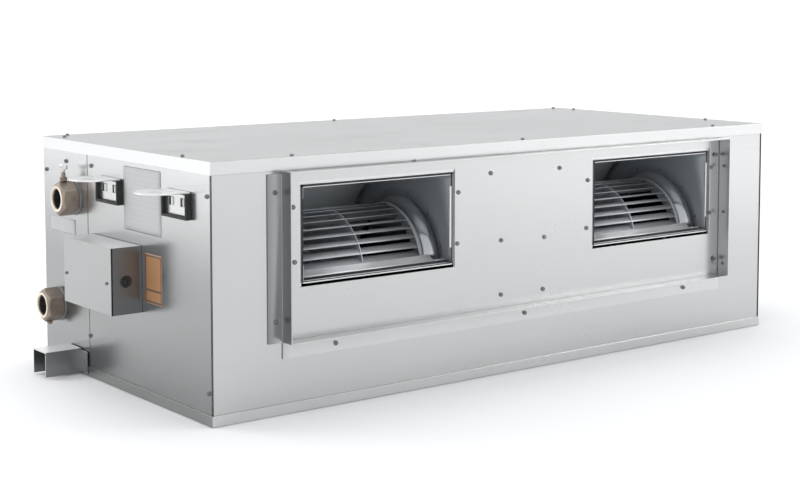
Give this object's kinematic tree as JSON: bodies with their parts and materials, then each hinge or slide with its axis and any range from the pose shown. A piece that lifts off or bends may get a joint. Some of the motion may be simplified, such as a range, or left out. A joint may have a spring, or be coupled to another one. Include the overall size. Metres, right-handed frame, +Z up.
{
  "type": "ducted fan coil unit",
  "caption": "Galvanised ceiling-void fan coil unit with a duct collar, centrifugal blowers, water coil, pipe ends, hangers, electrical box and sliding return filters.",
  "frame": {"origin": "centre of the casing's underside", "axes": "+X to the right seen from the outlets, +Y from the outlets to the return air side, +Z up"},
  "size_m": [1.2104, 0.5474, 0.35],
  "materials": {
    "galvanised": "smooth zinc-coated sheet, half mirror",
    "wheel_steel": "zinc-coated, satin",
    "bright_steel": "turned, bright",
    "motor_paint": "satin grey paint",
    "aluminium": "plain mill finish",
    "copper": "copper tube, slightly dulled",
    "brass": "dull brown cast brass",
    "rubber": "matt black",
    "foam": "dark closed-cell foam",
    "plastic": "moulded, matt",
    "filter_frame": "folded thin sheet",
    "filter_cloth": "pleated synthetic fleece"
  },
  "bodies": {
    "casing": {"base_pan": "galvanised", "top_cover": "galvanised", "left_front_panel": "galvanised", "left_rear_panel": "galvanised", "right_front_panel": "galvanised", "right_rear_panel": "galvanised", "front_panel": "galvanised", "return_frame": "galvanised", "duct_collar": "galvanised", "base_liner": "foam", "top_liner": "foam", "left_blower_housing": "galvanised", "right_blower_housing": "galvanised", "left_blower_motor": "motor_paint", "right_blower_motor": "motor_paint", "left_motor_bracket": "galvanised", "right_motor_bracket": "galvanised", "coil_fins": "aluminium", "coil_left_tube_sheet": "galvanised", "coil_right_tube_sheet": "galvanised", "coil_top_baffle": "galvanised", "supply_header": "copper", "return_header": "copper", "supply_coupling": "brass", "return_coupling": "brass", "supply_grommet": "rubber", "return_grommet": "rubber", "air_vent_body": "brass", "drain_plug": "brass", "drain_tray": "galvanised", "drain_spout": "plastic", "support_channel": "galvanised", "electrical_box": "galvanised", "electrical_box_cover": "galvanised", "cable_grommet": "rubber", "terminal_block": "plastic", "left_run_capacitor": "aluminium", "right_run_capacitor": "aluminium", "left_front_hanger": "galvanised", "left_rear_hanger": "galvanised", "right_front_hanger": "galvanised", "right_rear_hanger": "galvanised", "left_front_hanger_buffer": "rubber", "left_rear_hanger_buffer": "rubber", "right_front_hanger_buffer": "rubber", "right_rear_hanger_buffer": "rubber", "filter_bottom_rail": "galvanised", "filter_top_rail": "galvanised"},
    "left_wheel": {"left_wheel": "wheel_steel", "left_wheel_shaft": "bright_steel"},
    "right_wheel": {"right_wheel": "wheel_steel", "right_wheel_shaft": "bright_steel"},
    "vent_handle": {"vent_handle": "bright_steel"},
    "left_filter": {"left_filter_frame": "filter_frame", "left_filter_media": "filter_cloth"},
    "right_filter": {"right_filter_frame": "filter_frame", "right_filter_media": "filter_cloth"}
  },
  "joints": [
    {"name": "left_wheel_spin", "type": "hinge", "parent": "casing", "child": "left_wheel", "pos_m": [-0.2703, -0.125, 0.165], "axis": [1, 0, 0], "continuous": true},
    {"name": "right_wheel_spin", "type": "hinge", "parent": "casing", "child": "right_wheel", "pos_m": [0.2787, -0.125, 0.165], "axis": [1, 0, 0], "continuous": true},
    {"name": "vent_turn", "type": "hinge", "parent": "casing", "child": "vent_handle", "pos_m": [-0.56, 0.149, 0.3], "axis": [0, 0, 1], "range_deg": [0, 90]},
    {"name": "left_filter_slide", "type": "slide", "parent": "casing", "child": "left_filter", "axis": [-1, 0, 0], "range_m": [0, 0.49]},
    {"name": "right_filter_slide", "type": "slide", "parent": "casing", "child": "right_filter", "axis": [1, 0, 0], "range_m": [0, 0.49]}
  ]
}
